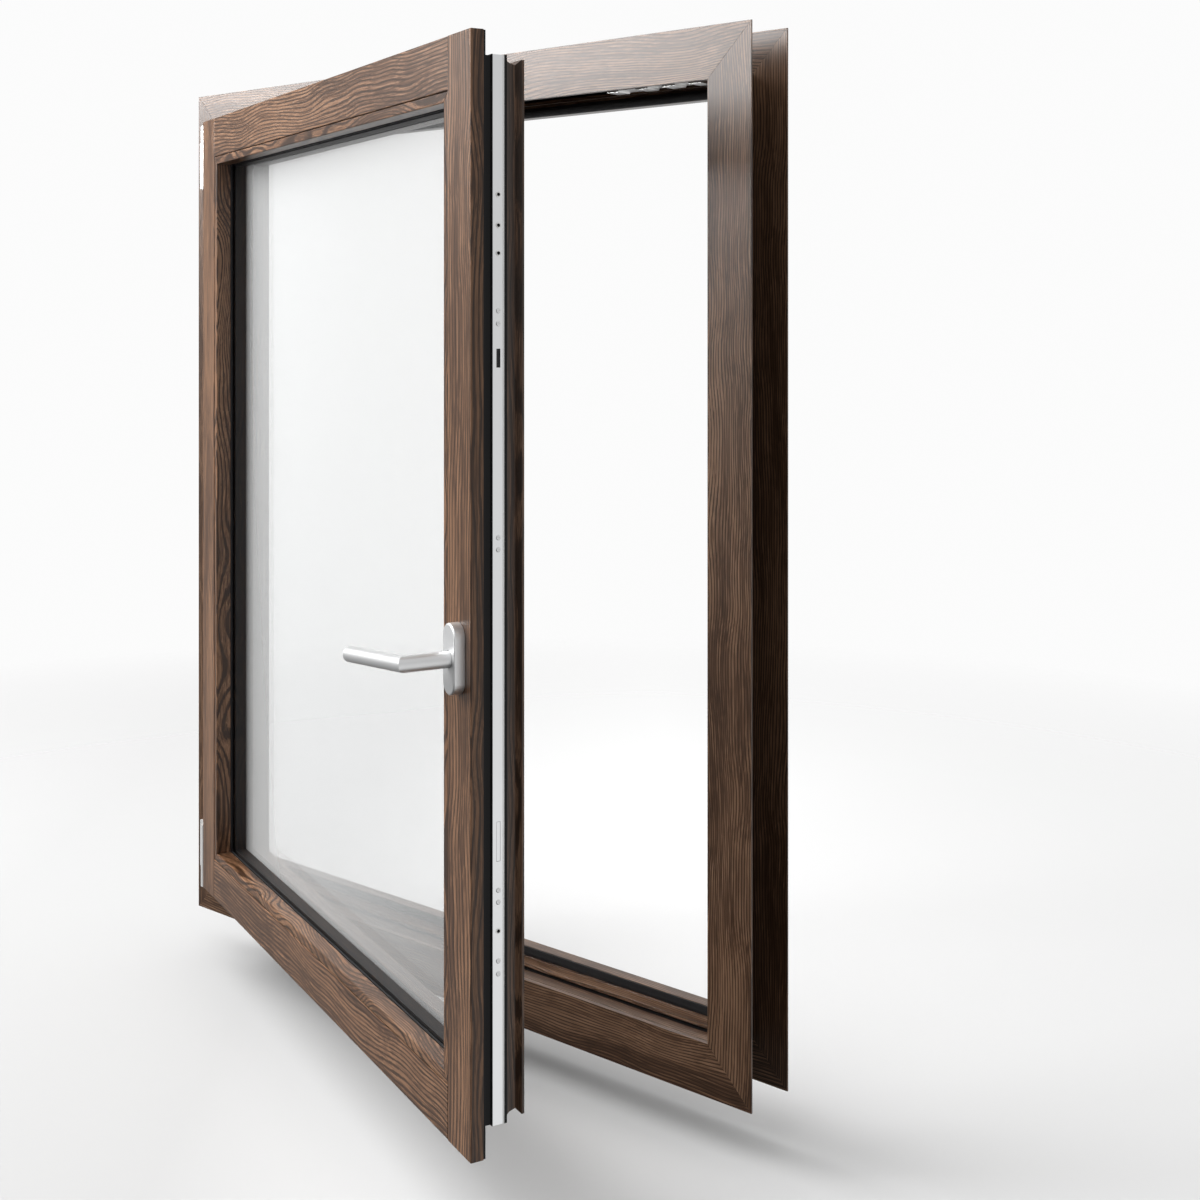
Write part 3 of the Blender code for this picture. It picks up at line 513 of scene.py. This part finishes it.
class World:
    """The studio's surroundings: white to the camera, plain to matt surfaces, and shaded in reflections."""

    def __init__(self):
        world = bpy.data.worlds.new("studio")
        bpy.context.scene.world = world
        world.use_nodes = True
        self.tree = world.node_tree
        self.background = self.tree.nodes["Background"]
        split = self.tree.nodes.new("ShaderNodeSeparateXYZ")
        self.tree.links.new(self.tree.nodes.new("ShaderNodeTexCoord").outputs["Generated"], split.inputs[0])
        self.x, self.y, self.z = split.outputs

    def rise(self, source, low, high, top):
        """A value that climbs smoothly from 0 to top while the source goes from low to high."""
        node = self.tree.nodes.new("ShaderNodeMapRange")
        node.interpolation_type = "SMOOTHSTEP"
        node.inputs["From Min"].default_value = low
        node.inputs["From Max"].default_value = high
        node.inputs["To Max"].default_value = top
        self.tree.links.new(source, node.inputs["Value"])
        return node.outputs["Result"]

    def math(self, operation, first, second):
        node = self.tree.nodes.new("ShaderNodeMath")
        node.operation = operation
        for socket, value in zip(node.inputs, (first, second)):
            if isinstance(value, (int, float)):
                socket.default_value = value
            else:
                self.tree.links.new(value, socket)
        return node.outputs["Value"]

    def choose(self, ray, otherwise, value):
        """One value for a kind of ray and another for the rest."""
        node = self.tree.nodes.new("ShaderNodeMix")
        node.data_type = "FLOAT"
        self.tree.links.new(ray, node.inputs[0])
        for socket, entry in ((node.inputs[2], otherwise), (node.inputs[3], value)):
            if isinstance(entry, (int, float)):
                socket.default_value = entry
            else:
                self.tree.links.new(entry, socket)
        return node.outputs[0]


def build_light():
    """Four area lights, and surroundings that differ for each kind of ray."""
    world = World()
    # What rough and polished surfaces mirror, by direction.
    below = world.math("MULTIPLY", world.z, -1)
    left = world.rise(world.math("MULTIPLY", world.x, -1), 0.55, 0.95, 0.30)
    front = world.math("MULTIPLY", world.rise(world.math("MULTIPLY", world.y, -1), 0.3, 0.7, 1.0),
                       world.rise(world.z, -0.20, 0.02, 0.8))
    right = world.math("MULTIPLY", world.rise(world.x, 0.3, 0.8, 1.0),
                       world.math("ADD", world.rise(below, -0.05, 0.35, 0.28), 0.6))
    above = world.rise(world.z, 0.1, 0.7, 0.7)
    back = world.rise(world.y, 0.2, 0.8, 0.95)
    mirrored = world.math("MAXIMUM", world.math("MAXIMUM", left, front), world.math("MAXIMUM", right, above))
    mirrored = world.math("ADD", world.math("MAXIMUM", mirrored, back), 0.05)
    # What the flat glass mirrors, and what lights matt surfaces.
    in_glass = world.math("ADD", world.rise(world.z, -0.43, -0.36, 0.72), 0.13)
    matt = world.math("ADD", world.rise(world.z, -0.1, 0.1, 0.32), 0.13)
    path = world.tree.nodes.new("ShaderNodeLightPath")
    level = world.choose(path.outputs["Is Glossy Ray"], matt, mirrored)
    level = world.choose(path.outputs["Is Singular Ray"], level, in_glass)
    level = world.choose(path.outputs["Is Camera Ray"], level, 0.97)
    world.tree.links.new(level, world.background.inputs["Strength"])
    world.background.inputs["Color"].default_value = (1, 1, 1, 1)
    # The head and the jamb tops mirror this one: its lower edge is where their pale part ends.
    mirror = area_light("front_softbox", (-2.05, -2.15, 2.30), (0, 0, 2.30), (2.4, 1.8), 210)
    mirror.visible_diffuse = False
    area_light("left_softbox", (-2.1, -0.75, 1.95), (0.0, -0.1, 0.55), (2.2, 1.4), 90).visible_glossy = False
    area_light("front_fill", (-1.9, -2.8, 1.5), (0.1, 0, 0.4), (2.0, 1.6), 62).visible_glossy = False
    area_light("overhead", (-0.9, -0.6, 3.2), (-0.2, -0.2, 0), (4.2, 4.6), 100).visible_glossy = False


def build_camera():
    data = bpy.data.cameras.new("camera")
    data.lens = 50
    data.sensor_width = 36
    data.shift_y = CAMERA_SHIFT
    camera = bpy.data.objects.new("camera", data)
    bpy.context.scene.collection.objects.link(camera)
    camera.location = LOW + CAMERA_PLACE
    camera.rotation_euler = (math.radians(90), 0, CAMERA_HEADING)
    bpy.context.scene.camera = camera


bpy.context.scene.view_settings.view_transform = "Standard"
build_camera()
build_light()
build_stage()
MATERIALS = make_materials()
dress_wood()
dress_rest(MATERIALS)
dress_faceplate(MATERIALS)
dress_hinge_jamb(MATERIALS)
